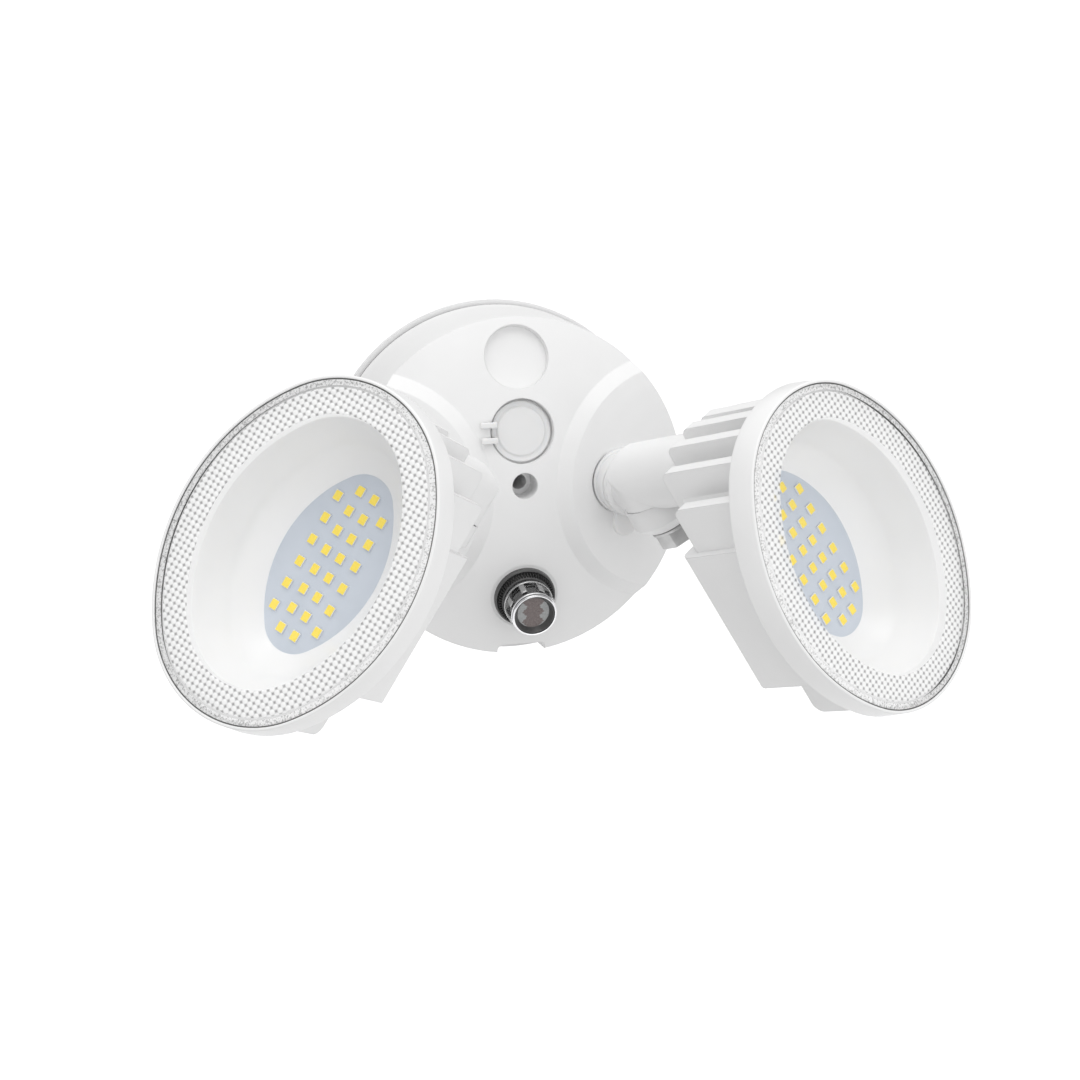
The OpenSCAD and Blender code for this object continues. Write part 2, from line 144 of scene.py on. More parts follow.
class Shell:
    """Collects vertices, faces and material numbers of one piece."""

    def __init__(self):
        self.v, self.f, self.m = [], [], []

    def ring(self, profile, place, n, mat=0, closed=True):
        """Sweeps an outline round n stations."""
        base, k = len(self.v), len(profile)
        for j in range(n):
            a = 2 * math.pi * j / n
            self.v += [place(a, p) for p in profile]
        last = k if closed else k - 1
        for j in range(n):
            for i in range(last):
                i1, j1 = (i + 1) % k, (j + 1) % n
                self.f.append((base + j * k + i, base + j * k + i1, base + j1 * k + i1, base + j1 * k + i))
                self.m.append(mat)

    def lathe(self, profile, n, mat=0, closed=True):
        """Turns an outline of (radius, y) round the Y axis."""
        def place(a, p):
            return p[0] * math.cos(a), p[1], p[0] * math.sin(a)
        self.ring(profile, place, n, mat, closed)

    def sweep_oval(self, profile, n):
        """Carries an outline of (depth, inset) round the heads' oval."""
        def place(a, p):
            w, u = oval_point(a + NUDGE, p[1])
            return w, p[0], u
        self.ring(profile, place, n)

    def join(self, a, b, n, mat):
        """Quads between two rings of n vertices, which start at vertices a and b."""
        for j in range(n):
            k = (j + 1) % n
            self.f.append((a + j, a + k, b + k, b + j))
            self.m.append(mat)

    def cap(self, start, n, mat):
        """One face over the ring of n vertices that starts at vertex start."""
        self.f.append(tuple(range(start, start + n)))
        self.m.append(mat)

    def block(self, lo, hi, r, mat=0, steps=2, at=Matrix.Identity(4)):
        """Box with edges of radius r: each side is a grid, bunched near its four edges."""
        core = [[lo[i] + r, hi[i] - r] for i in range(3)]
        n = steps * 2 + 2
        index = {}
        for face in range(6):
            axis, sign = face // 2, 1 if face % 2 else -1
            u_axis, v_axis = (axis + 1) % 3, (axis + 2) % 3
            grid = []
            for i in range(n):
                row = []
                for j in range(n):
                    d = [0, 0, 0]
                    d[axis] = sign
                    c = [0, 0, 0]
                    c[axis] = core[axis][sign > 0]
                    for ax, q in ((u_axis, i), (v_axis, j)):
                        far = q >= n // 2
                        c[ax] = core[ax][far]
                        bend = 1 + (q - (n - 1)) / steps if far else q / steps - 1
                        d[ax] = math.tan(bend * math.pi / 4)
                    p = tuple(at @ (Vector(c) + Vector(d).normalized() * r))
                    key = tuple(round(x, 4) for x in p)
                    if key not in index:
                        index[key] = len(self.v)
                        self.v.append(p)
                    row.append(index[key])
                grid.append(row)
            for i in range(n - 1):
                for j in range(n - 1):
                    q = [grid[i][j], grid[i + 1][j], grid[i + 1][j + 1], grid[i][j + 1]]
                    if len(set(q)) > 2:
                        q = list(dict.fromkeys(q))
                        self.f.append(tuple(q if sign > 0 else reversed(q)))
                        self.m.append(mat)

    def slab(self, outline, y0, y1, r, mat=0, steps=3, at=Matrix.Identity(4)):
        """Plate of an outline in X and Z, from y0 to y1, with rounded edges of radius r."""
        k, base = len(outline), len(self.v)
        area = sum(a[0] * b[1] - b[0] * a[1] for a, b in zip(outline, outline[1:] + outline[:1]))
        flip = 1 if area > 0 else -1
        inward = []
        for i, p in enumerate(outline):
            a = (Vector(p) - Vector(outline[i - 1])).normalized()
            b = (Vector(outline[(i + 1) % k]) - Vector(p)).normalized()
            mid = Vector((-(a.y + b.y), a.x + b.x)) * flip
            inward.append(mid.normalized() / max(0.5, math.sqrt(max(0.0, (1 + a.dot(b)) / 2))))
        quarter = [math.pi / 2 * q / steps for q in range(steps + 1)]
        front = [(y0 + r * (1 - math.cos(t)), r * (1 - math.sin(t))) for t in quarter]
        rows = front + [(y1 - (y - y0), i) for y, i in reversed(front)]
        for y, i in rows:
            row = [Vector((p[0] + n.x * i, y, p[1] + n.y * i)) for p, n in zip(outline, inward)]
            self.v += [tuple(at @ p) for p in row]
        for j in range(len(rows) - 1):
            a = base + j * k
            self.f += [(a + i, a + k + i, a + k + (i + 1) % k, a + (i + 1) % k) for i in range(k)]
            self.m += [mat] * k
        last = base + (len(rows) - 1) * k
        self.f += [tuple(range(base, base + k)), tuple(reversed(range(last, last + k)))]
        self.m += [mat] * 2


def piece(name, shell, matrix, body, mats, replaces, angle=40):
    """Makes one piece from a shell, in metres, riding on a body; edges sharper than angle stay crisp."""
    mesh = bpy.data.meshes.new(name)
    faces = [tuple(reversed(f)) for f in shell.f] if matrix.determinant() < 0 else shell.f
    mesh.from_pydata([tuple(matrix @ Vector(v)) for v in shell.v], [], faces)
    for m in mats:
        mesh.materials.append(m)
    mesh.polygons.foreach_set("material_index", shell.m)
    obj = bpy.data.objects.new(name, mesh)
    bpy.context.scene.collection.objects.link(obj)
    bm = bmesh.new()
    bm.from_mesh(mesh)
    bmesh.ops.remove_doubles(bm, verts=bm.verts, dist=1e-6)
    bmesh.ops.recalc_face_normals(bm, faces=bm.faces)
    bm.to_mesh(mesh)
    bm.free()
    mesh.shade_smooth()
    mesh.set_sharp_from_angle(angle=math.radians(angle))
    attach(obj, body)
    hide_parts(*replaces)
    return obj


def mark(obj, name, kind, matrix, value):
    """Stores value(p) at every vertex for a material to read, with p in mm in the local frame of matrix."""
    to_local = matrix.inverted()
    data = obj.data.attributes.new(name, kind, "POINT").data
    field = "vector" if kind == "FLOAT_VECTOR" else "value"
    for k, v in enumerate(obj.data.vertices):
        setattr(data[k], field, value(to_local @ v.co))


# ---------------------------------------------------------------- materials
class Paint:
    """A node material under construction."""

    def __init__(self, name):
        self.mat = bpy.data.materials.new(name)
        self.mat.use_nodes = True
        self.nt = self.mat.node_tree
        self.bsdf = self.nt.nodes["Principled BSDF"]
        self.out = self.nt.nodes["Material Output"]
        self.coord = self.node("ShaderNodeTexCoord").outputs["Object"]

    def node(self, kind, **sockets):
        n = self.nt.nodes.new(kind)
        for k, v in sockets.items():
            n.inputs[k.replace("_", " ")].default_value = v
        return n

    def link(self, a, b):
        self.nt.links.new(a, b)

    def set(self, **sockets):
        for k, v in sockets.items():
            self.bsdf.inputs[k.replace("_", " ")].default_value = v

    def noise(self, scale, detail=3, rough=0.5):
        n = self.node("ShaderNodeTexNoise", Scale=scale, Detail=detail, Roughness=rough)
        self.link(self.coord, n.inputs["Vector"])
        return n.outputs["Fac"]

    def ramp(self, fac, *stops):
        """Colour that follows fac through (position, colour) stops."""
        r = self.node("ShaderNodeValToRGB")
        e = r.color_ramp.elements
        while len(e) < len(stops):
            e.new(0.5)
        for el, (pos, col) in zip(e, stops):
            el.position = pos
            el.color = (*col, 1)
        self.link(fac, r.inputs["Fac"])
        return r.outputs["Color"]

    def math(self, op, a, b=None):
        """One arithmetic step on sockets or numbers."""
        m = self.nt.nodes.new("ShaderNodeMath")
        m.operation = op
        for socket, value in zip(m.inputs, (a, b)):
            if value is None:
                continue
            if isinstance(value, (int, float)):
                socket.default_value = value
            else:
                self.link(value, socket)
        return m.outputs[0]

    def attribute(self, name, out="Fac"):
        a = self.node("ShaderNodeAttribute")
        a.attribute_name = name
        return a.outputs[out]

    def sheet(self, cover, tint):
        """Lets light straight through, except where cover keeps the main shader; shadow rays always pass."""
        path = self.node("ShaderNodeLightPath")
        through = self.math("MAXIMUM", path.outputs["Is Shadow Ray"], path.outputs["Is Diffuse Ray"])
        cover = self.math("MULTIPLY", cover, self.math("SUBTRACT", 1.0, through))
        see = self.node("ShaderNodeBsdfTransparent")
        see.inputs["Color"].default_value = (*tint, 1)
        mix = self.node("ShaderNodeMixShader")
        self.link(cover, mix.inputs["Fac"])
        self.link(see.outputs[0], mix.inputs[1])
        self.link(self.bsdf.outputs[0], mix.inputs[2])
        self.link(mix.outputs[0], self.out.inputs["Surface"])

    def glance(self, least, most):
        """Rises from least, seen square on, to most at a glancing angle."""
        w = self.node("ShaderNodeLayerWeight", Blend=0.5)
        rise = self.math("POWER", w.outputs["Facing"], 4.0)
        return self.math("ADD", self.math("MULTIPLY", rise, most - least), least)

    def span(self, fac, lo, hi):
        """Stretches a factor of 0 to 1 over lo to hi."""
        m = self.node("ShaderNodeMapRange")
        m.inputs["To Min"].default_value = lo
        m.inputs["To Max"].default_value = hi
        self.link(fac, m.inputs["Value"])
        return m.outputs["Result"]

    def bump(self, height, depth, strength=1.0, edge=0.0):
        """Bump in metres over softened edges of radius edge."""
        b = self.node("ShaderNodeBump", Strength=strength, Distance=depth)
        self.link(height, b.inputs["Height"])
        if edge:
            v = self.node("ShaderNodeBevel", Radius=edge)
            v.samples = 6
            self.link(v.outputs["Normal"], b.inputs["Normal"])
        self.link(b.outputs["Normal"], self.bsdf.inputs["Normal"])


def grey(v):
    return (v, v, v)


def moulded(name, tone, rough, grain=2600, depth=6e-6, edge=3e-4, spread=0.012):
    """Satin moulded plastic or coating: faint mottling, fine grain in the gloss and surface."""
    p = Paint(name)
    p.link(p.ramp(p.noise(45, 4), (0.3, grey(tone - spread)), (0.7, grey(tone + spread))),
           p.bsdf.inputs["Base Color"])
    p.link(p.span(p.noise(grain / 3, 2), rough - 0.05, rough + 0.05), p.bsdf.inputs["Roughness"])
    p.bump(p.noise(grain, 2, 0.6), depth, 0.6, edge)
    p.set(IOR=1.5)
    return p


def layered(name, tones, rough, bump, **sockets):
    """Surface with its own noise for each of colour, gloss and bump.

    tones and rough are (scale, detail, low, high); bump is (scale, depth, strength, edge radius).
    """
    p = Paint(name)
    scale, detail, low, high = tones
    p.link(p.ramp(p.noise(scale, detail), (0.3, low), (0.7, high)), p.bsdf.inputs["Base Color"])
    scale, detail, low, high = rough
    p.link(p.span(p.noise(scale, detail), low, high), p.bsdf.inputs["Roughness"])
    scale, depth, strength, edge = bump
    p.bump(p.noise(scale, 2), depth, strength, edge)
    p.set(**sockets)
    return p


canopy = moulded("canopy_plastic", 0.84, 0.42, depth=5e-6, edge=7e-4)
head = moulded("powder_coat", 0.84, 0.46, grain=1500, depth=1.2e-5, edge=5e-4)
arm = moulded("arm_coat", 0.83, 0.44, grain=1500, depth=1.2e-5)
trim = moulded("trim_plastic", 0.86, 0.34, depth=4e-6, edge=2e-4)
soft = moulded("white_rubber", 0.80, 0.5, grain=1800, depth=8e-6, edge=2e-4)
soft.set(Subsurface_Weight=0.25, Subsurface_Scale=0.002, Subsurface_Radius=(1, 0.9, 0.8))
bowl = moulded("reflector_plastic", 0.93, 0.3, depth=3e-6, edge=0)
rubber = moulded("seal_rubber", 0.10, 0.6, grain=1400, depth=1.5e-5, edge=1e-4, spread=0.006)
black = moulded("black_plastic", 0.018, 0.42, grain=1900, depth=1.2e-5, edge=1.5e-4, spread=0.004)
# a lighter black: on the sensor nut it is painted light, the nut's rim lighter than its black ribs where
# light falls on it; the eye's cup is in it too
lighter_black = moulded("lighter_black", 0.075, 0.36, grain=1600, depth=8e-6, edge=2e-4, spread=0.01)
package = moulded("led_package", 0.88, 0.4, edge=5e-5)

# the circuit board takes moulded's gloss and grain, with a green of its own
green = moulded("circuit_board", 0.06, 0.5, grain=900, edge=1e-4)
green.link(green.ramp(green.noise(120, 3), (0.35, (0.02, 0.12, 0.05)), (0.65, (0.03, 0.16, 0.07))),
           green.bsdf.inputs["Base Color"])

steel = layered("zinc_steel", (300, 4, (0.55, 0.55, 0.56), (0.68, 0.68, 0.67)), (900, 3, 0.25, 0.42),
                (1600, 8e-6, 0.5, 1.5e-4), Metallic=1.0)
satin_steel = layered("satin_steel", (200, 4, grey(0.40), grey(0.50)), (1100, 3, 0.30, 0.45),
                      (1500, 8e-6, 0.5, 1.5e-4), Metallic=0.7)
chrome = layered("chrome", (500, 3, (0.66, 0.66, 0.68), (0.74, 0.74, 0.75)), (1200, 3, 0.03, 0.08),
                 (700, 3e-6, 0.3, 0), Metallic=1.0)
# a darker copy of the chrome: a painted dark reflection, for the wall of the sensor's ring
chrome_painted_dark = layered("chrome_painted_dark", (500, 3, grey(0.10), grey(0.15)), (1200, 3, 0.08, 0.14),
                      (700, 3e-6, 0.3, 0), Metallic=1.0)
board = layered("board_mask", (70, 5, (0.60, 0.655, 0.73), (0.65, 0.70, 0.775)), (800, 3, 0.3, 0.42),
                (1300, 8e-6, 0.5, 0))
# the windows also glow faintly, a painted glow: the LEDs are not lamps here
phosphor = layered("led_phosphor", (2500, 3, (0.93, 0.70, 0.07), (0.98, 0.78, 0.12)), (3500, 2, 0.35, 0.5),
                   (5000, 1e-5, 0.5, 0), Emission_Color=(1.0, 0.80, 0.12, 1), Emission_Strength=0.1)


def clear(name, tint, cover, tone, depth=1e-6):
    """Clear plastic: tint is what it lets through, cover its gloss seen square on and at a glance."""
    p = Paint(name)
    p.link(p.ramp(p.noise(300, 2), (0.3, grey(tone)), (0.7, grey(tone + 0.02))), p.bsdf.inputs["Base Color"])
    p.link(p.span(p.noise(900, 2), 0.02, 0.07), p.bsdf.inputs["Roughness"])
    p.set(IOR=1.49, Metallic=0.9, Specular_IOR_Level=0.8)
    p.bump(p.noise(1500, 2, 0.7), depth, 0.5)
    p.sheet(p.glance(*cover), tint)
    return p


def prism_paint(name, cover, stipple=False):
    """Moulded lens pattern: bright pillows on a square grid, or a fine stipple, with grey between; the grey
    is painted shade and the bright tops painted highlight, for the light that a clear lens bends.
    """
    p = Paint(name)
    place = p.attribute("place", "Vector")
    if stipple:
        cells = p.node("ShaderNodeTexNoise", Scale=1.7, Detail=2.0, Roughness=0.6)
        p.link(place, cells.inputs["Vector"])
        height = cells.outputs["Fac"]
        # painted shade in the stipple's low spots, painted highlight on its high spots
        tones = p.ramp(height, (0.38, grey(0.48)), (0.46, grey(0.82)), (0.55, grey(0.97)))
    else:
        xyz = p.node("ShaderNodeSeparateXYZ")
        p.link(place, xyz.inputs[0])
        waves = [p.math("ABSOLUTE", p.math("COSINE", p.math("MULTIPLY", xyz.outputs[axis], math.pi / pitch)))
                 for axis, pitch in (("X", BUMP_W), ("Z", BUMP_U))]
        height = p.math("POWER", p.math("MULTIPLY", *waves), 0.6)
        # painted shade: grey where four pillows meet, only a trace along the grooves between two
        gap_shade = p.math("MULTIPLY", *[p.math("SUBTRACT", 1.0, w) for w in waves])
        solid = p.math("MULTIPLY", p.math("SUBTRACT", 1.0, gap_shade), 0.78)
        tone = p.math("ADD", p.math("MULTIPLY", height, 0.22), solid)
        tones = p.ramp(tone, (0.40, grey(0.30)), (0.66, grey(0.60)), (0.90, grey(0.95)))
    p.link(tones, p.bsdf.inputs["Base Color"])
    p.link(p.span(p.noise(900, 2), 0.12, 0.22), p.bsdf.inputs["Roughness"])
    p.bump(height, 5e-5, 0.4)
    p.set(IOR=1.49)
    p.sheet(cover, grey(0.98))
    return p


BUMP_W, BUMP_U, BUMP_H = 2.0, 1.95, 0.2  # the lens pillows' pitch across and along, and their height
lens_clear = clear("lens_clear", grey(0.99), (0.035, 0.7), 0.8)
lens_prism = prism_paint("lens_prism", 0.8)
lens_rim = prism_paint("lens_rim", 0.75, True)
smoke = clear("smoked_plastic", (0.50, 0.50, 0.51), (0.16, 0.9), 0.7, 2e-5)
# a glossier, brighter copy of the smoke for the cap's flange: a painted highlight
smoke_highlight = clear("smoked_painted_highlight", (0.42, 0.42, 0.43), (0.5, 0.95), 0.75, 1e-5)

eye = Paint("cell_face")
cell = eye.ramp(eye.noise(1800, 3), (0.3, (0.105, 0.078, 0.074)), (0.7, (0.14, 0.105, 0.10)))
metal = eye.ramp(eye.noise(1500, 3), (0.3, (0.27, 0.28, 0.28)), (0.7, (0.36, 0.37, 0.37)))
films = eye.node("ShaderNodeMixRGB")
eye.link(eye.attribute("track"), films.inputs["Fac"])
eye.link(cell, films.inputs["Color1"])
eye.link(metal, films.inputs["Color2"])
eye.link(films.outputs["Color"], eye.bsdf.inputs["Base Color"])
eye.link(eye.span(eye.noise(900, 2), 0.2, 0.35), eye.bsdf.inputs["Roughness"])
eye.bump(eye.noise(2500, 2), 1e-5, 0.4)
eye.set(Coat_Weight=0.5, Coat_Roughness=0.08)

NODE_PAINT = {
    "back_plate": canopy, "canopy_cover": canopy, "cover_gasket": rubber, "cover_screws": steel,
    "sensor_body": black, "selector_switch": black, "selector_slider": black, "selector_flap": soft,
    "sensor_nut": black, "sensor_cap": smoke, "sensor_ring": chrome, "sensor_eye": eye,
}
for side in ("right", "left"):
    NODE_PAINT.update({
        side + "_housing": head, side + "_arm": arm, side + "_lens_seal": rubber,
        side + "_led_board": board, side + "_driver": green,
        side + "_lock_nut": soft, side + "_hub_seal": soft, side + "_clamp_screw": steel,
        side + "_bezel": trim, side + "_lens": lens_clear, side + "_reflector": bowl, side + "_leds": package,
    })
for name, paint in NODE_PAINT.items():
    mesh = nodes[name].data
    mesh.materials.clear()
    mesh.materials.append(paint.mat)

# ---------------------------------------------------------------- heads
BEZEL_D = 10.4                             # depth of the rim
BOARD_D, BOARD_BACK, BOARD_IN = 25.2, 27, 20  # depths of the board's faces, and its inset
LED_ROWS = ((2.95, 8, 7.2), (9.15, 6, 8.1))  # distance from the middle, number and pitch of a column
LED_W, LED_U = 1.4, 1.7                    # half sizes of a package
LED_RISE, WINDOW_SINK = 0.9, 0.08          # height over the board, and of the window over its body
RIM_FRONT, LENS_FRONT, LENS_BACK = 0.35, 0.36, 2.35  # depths of the lens faces
LENS_IN, LENS_STEPS = 0.45, 1080           # inset of the lens outline, and stations round it
SLOPE_IN, STIPPLE_IN = 0.75, 2.3           # insets where the rim's slope and its stipple end
BAND = (3.0, 11.5)                         # insets of the band of pillows
BAND_ROWS = 32
FADE = 0.35                                # width over which the pillows rise at the band's edges


def smooth(t):
    t = min(1.0, max(0.0, t))
    return t * t * (3 - 2 * t)


def lens_height(inset, w, u):
    """Depth of the lens front at a point: stippled rim, smooth ring, square grid of pillows, clear middle."""
    if inset < SLOPE_IN:
        return RIM_FRONT + (SLOPE_IN - inset) * 0.4
    inside = smooth((inset - BAND[0]) / FADE) * smooth((BAND[1] - inset) / FADE)
    if inside > 0:
        pillow = abs(math.cos(math.pi * w / BUMP_W) * math.cos(math.pi * u / BUMP_U)) ** 0.6
        return LENS_FRONT - inside * BUMP_H * pillow
    if inset < STIPPLE_IN:
        grain = abs(noise.noise(Vector((w * 1.9, u * 1.9, 3.1))))
        return RIM_FRONT - 0.12 * grain * smooth((STIPPLE_IN - inset) / 0.3)
    return LENS_FRONT


def lens(side):
    """Clear lens in rings: materials 0 clear, 1 pillows, 2 stipple."""
    s = Shell()
    n = LENS_STEPS
    rings = [LENS_IN, 0.55, SLOPE_IN] + [SLOPE_IN + 0.26 * k for k in range(1, 7)] + [2.6]
    rings += [BAND[0] + (BAND[1] - BAND[0]) * k / BAND_ROWS for k in range(BAND_ROWS + 1)]
    for inset in rings:
        s.v += [(w, lens_height(inset, w, u), u) for w, u in oval_stations(n, inset)]
    for i, inset in enumerate(rings[:-1]):
        s.join(i * n, (i + 1) * n, n, 1 if inset >= BAND[0] else 0 if inset >= STIPPLE_IN else 2)
    s.cap((len(rings) - 1) * n, n, 0)
    # the edge and the flat back
    last = 0
    edge = ((LENS_IN, LENS_BACK - 0.15, 2), (LENS_IN + 0.15, LENS_BACK, 2))
    flat = ((BAND[0], LENS_BACK, 0), (BAND[1], LENS_BACK, 0))
    for inset, depth, mat in edge + flat:
        start = len(s.v)
        s.v += [(w, depth, u) for w, u in oval_stations(n, inset)]
        s.join(last, start, n, mat)
        last = start
    s.cap(last, n, 0)
    obj = piece(side + "_lens_v", s, head_frame(side), side + "_head",
                [lens_clear.mat, lens_prism.mat, lens_rim.mat], [side + "_lens"], angle=50)
    mark(obj, "place", "FLOAT_VECTOR", head_frame(side), lambda p: p)


def bezel(side):
    """Rim of the head: a band round the lens with a ledge for it to sit on."""
    s = Shell()
    outline = [(0, -1.0), (BEZEL_D, -1.8), (BEZEL_D, 1.7),
               (4.6, 1.7), (4.6, 4.2), (2.95, 4.2), (2.95, 0), (0, 0)]
    s.sweep_oval(fillet(outline, [0.6, 0.9, 0.3, 0, 0, 0, 0, 0.3]), 300)
    piece(side + "_bezel_v", s, head_frame(side), side + "_head", [trim.mat], [side + "_bezel"])


def reflector(side):
    """Bowl whose wall bends further in below its knee; points are (depth, inset)."""
    s = Shell()
    (top_d, top_i), (knee_d, knee_i), (end_d, end_i) = (3.2, 11.9), (16, 17.2), (25.9, 26.6)
    inner = []
    steps = 24
    for k in range(1, steps + 1):
        d = top_d + (end_d - top_d) * k / steps
        if d < knee_d:
            i = top_i + (knee_i - top_i) * ((d - top_d) / (knee_d - top_d)) ** 1.15
        else:
            i = knee_i + (end_i - knee_i) * ((d - knee_d) / (end_d - knee_d)) ** 1.35
        inner.append((d, i))
    outer = [(24.9, 25.2), (20, 19.0), (16, 15.4), (4.6, 10.7), (4.6, 4.3), (3.2, 4.3)]
    rim = [(3.2, 11.3), (3.3, 11.7)]
    s.sweep_oval(rim + inner + outer, 240)
    piece(side + "_reflector_v", s, head_frame(side), side + "_head", [bowl.mat],
          [side + "_reflector"])


def leds(side):
    """28 packages: pale body, yellow window over nearly all of it, plated ends and a cut corner."""
    s = Shell()
    top = BOARD_D - LED_RISE
    w, u, cut = LED_W - 0.1, LED_U - 0.1, 0.35
    window = [(-w, -u), (w, -u), (w, u - cut), (w - cut, u), (-w, u)]
    for column, count, pitch in LED_ROWS:
        for x in (-column, column):
            for k in range(count):
                z = (k - (count - 1) / 2) * pitch
                s.block((x - LED_W, top + WINDOW_SINK, z - LED_U),
                        (x + LED_W, BOARD_D - 0.05, z + LED_U), 0.12)
                s.slab([(x + a, z + b) for a, b in window], top, top + 0.2, 0.05, 1, 1)
                for end in (z - u, z + u):
                    s.block((x - 1.1, 24.95, end - 0.15), (x + 1.1, 25.18, end + 0.15), 0.04, 2, 1)
    piece(side + "_leds_v", s, head_frame(side), side + "_head",
          [package.mat, phosphor.mat, steel.mat], [side + "_leds"])


def led_board(side):
    """Oval board that carries the LEDs."""
    s = Shell()
    s.slab(oval_stations(180, BOARD_IN), BOARD_D, BOARD_BACK, 0.25)
    piece(side + "_led_board_v", s, head_frame(side), side + "_head", [board.mat],
          [side + "_led_board"])


# ---------------------------------------------------------------- arms
LUG_H = 10    # from the tilt pivot down to the face under the clamp screw
NUT_TURN = 8  # how far the lock nut's tab hangs off plumb


def hub_parts(side):
    """Seal where the arm enters the cover, and the lock nut with its tab."""
    place = hub_frame(side)
    s = Shell()
    s.lathe(fillet([(10.5, -53.3), (12.0, -53.3), (12.0, -55.7), (11.2, -55.9), (11.2, -57.0), (10.5, -57.0)],
                   [0, 0.2, 0.5, 0.3, 0.4, 0.2]), 120)
    piece(side + "_hub_seal_v", s, place, "canopy", [soft.mat], [side + "_hub_seal"])
    s = Shell()
    s.lathe(fillet([(10.2, -57.3), (11.6, -57.3), (11.6, -63.3), (10.2, -63.3)], [0.2, 0.5, 0.9, 0.2]), 120)
    tab = fillet([(-4.2, -10.6), (-4.2, -19.4), (4.2, -19.4), (4.2, -10.6)], [0, 4.1, 4.1, 0], 10)
    s.slab(tab, -61.9, -58.7, 0.8, 0, 3, turn("Y", NUT_TURN))
    piece(side + "_lock_nut_v", s, place, side + "_nut", [soft.mat], [side + "_lock_nut"])


def clamp_screw(side):
    """Hex head with a washer face; the shank runs up through both lugs."""
    s = Shell()
    to_z = turn("X", 90)
    hexagon = [(6.9 * math.cos(math.pi * k / 3), 6.9 * math.sin(math.pi * k / 3)) for k in range(6)]
    outline = fillet(hexagon, [0.6] * 6, 3)
    s.slab([(x, -y) for x, y in outline], -LUG_H - 7.4, -LUG_H - 1.4, 0.5, 0, 3, to_z)
    tip = LUG_H + 13.0
    washer = fillet([(0.1, -1.5), (7.4, -1.5), (7.4, -0.3), (0.1, -0.3)], [0, 0.3, 0.3, 0])
    shank = [(0.1, -0.4), (2.45, -0.4), (2.45, tip - 0.6), (1.9, tip), (0.1, tip)]
    for profile in (washer, shank):
        base = len(s.v)
        s.lathe([(r, y - LUG_H) for r, y in profile], 72)
        s.v[base:] = [tuple(to_z @ Vector(v)) for v in s.v[base:]]
    piece(side + "_clamp_screw_v", s, arm_frame(side), side + "_screw", [satin_steel.mat],
          [side + "_clamp_screw"])


# ---------------------------------------------------------------- flap over the selector
def flap():
    """Round lid with a raised middle, on two L-shaped straps."""
    s = Shell()
    lid = [(0, 2.1), (8.6, 2.1), (9.2, 2.75), (9.9, 2.75), (10.1, 2.7), (11.2, 2.7), (10.8, 3.9), (0, 3.9)]
    s.lathe(fillet(lid, [0, 0.5, 0.2, 0.1, 0, 0.4, 0.3, 0]), 120, 0, False)
    leg = [(-15.6, -1.7), (-9.4, -1.7), (-9.4, 3.4), (-10.9, 3.4),
           (-10.9, -0.4), (-14.0, -0.1), (-15.6, -0.1)]
    strap = fillet(leg, [0.7, 0.9, 0.2, 0.2, 0.5, 0.3, 0.7], 4)
    swap = Matrix(((1, 0, 0, 0), (0, 0, 1, 0), (0, 1, 0, 0), (0, 0, 0, 1)))  # Y and Z change places
    for z in (-2.8, 2.8):
        s.slab(strap, z - 1.1, z + 1.1, 0.45, 0, 3, swap)
    piece("selector_flap_v", s, dome_frame(PORT_T), "flap", [soft.mat], ["selector_flap"])


# ---------------------------------------------------------------- dusk sensor
def electrode(x, z):
    """1 on the two metal films of the cell, 0 on the layer between them."""
    edge = 3.2 + 0.75 * math.sin(2 * math.pi * (z + 0.6) / 4.0) + 0.2 * math.sin(2 * math.pi * z / 1.0)
    return smooth((abs(x) - edge) / 0.3 + 0.5)


def sensor_nut(place):
    """Ring nut with 60 ribs round its step."""
    s = Shell()
    outline = [(8.66, 0.6), (11.4, 0.6), (11.4, -1.2), (10.7, -1.6),
               (10.5, -0.9), (9.6, -0.9), (9.3, -3.6), (8.66, -3.8)]
    # the nut's body and rim in the lighter black, painted light on the one black plastic; the ribs in black
    s.lathe(fillet(outline, [0, 0, 0.5, 0.35, 0.1, 0.1, 0.3, 0]), 144)
    for k in range(60):
        s.block((9.3, -3.3, -0.2), (10.5, -0.6, 0.2), 0.08, 1, 1, turn("Y", k * 6))
    piece("sensor_nut_v", s, place, "canopy", [lighter_black.mat, black.mat], ["sensor_nut"])


def sensor_cap(place):
    """Smoked cap with a flange and eight lugs."""
    s = Shell()
    outline = [(6.6, -5.4), (6.6, -12.3), (7.6, -12.3), (7.6, -6.4), (9.2, -6.2), (9.2, -4.6), (6.9, -4.6)]
    s.lathe(fillet(outline, [0, 0, 0.3, 0.2, 0.5, 0.2, 0]), 120)
    # the flange in the brighter copy of the smoke, a painted highlight
    s.lathe(fillet([(8.5, -6.25), (9.2, -6.3), (9.2, -5.2), (8.7, -5.2)], [0.2, 0.35, 0.3, 0.1]), 120, 1)
    for k in range(8):
        s.block((7.1, -11.7, -1.15), (8.9, -6.0, 1.15), 0.45, 1, 3, turn("Y", 22.5 + k * 45))
    piece("sensor_cap_v", s, place, "canopy", [smoke.mat, smoke_highlight.mat], ["sensor_cap"])


def sensor_ring(place):
    """Bright ring: polished lip, a wall in darker chrome that is a painted dark reflection, and a polished
    bead round the wall.
    """
    s = Shell()
    lip = [(7.5, -14.9), (7.55, -15.3), (7.85, -15.4), (8.2, -15.1), (8.2, -14.7), (7.5, -14.7)]
    s.lathe(fillet(lip, [0, 0.12, 0.2, 0.2, 0, 0]), 144)
    s.lathe(fillet([(7.5, -14.8), (8.15, -14.8), (8.2, -12.4), (7.5, -12.4)], [0, 0.2, 0.2, 0]), 144, 1)
    s.lathe(fillet([(8.1, -13.9), (8.4, -13.8), (8.4, -13.3), (8.1, -13.2)], [0, 0.2, 0.2, 0]), 144)
    piece("sensor_ring_v", s, place, "canopy",
          [chrome.mat, chrome_painted_dark.mat], ["sensor_ring"])


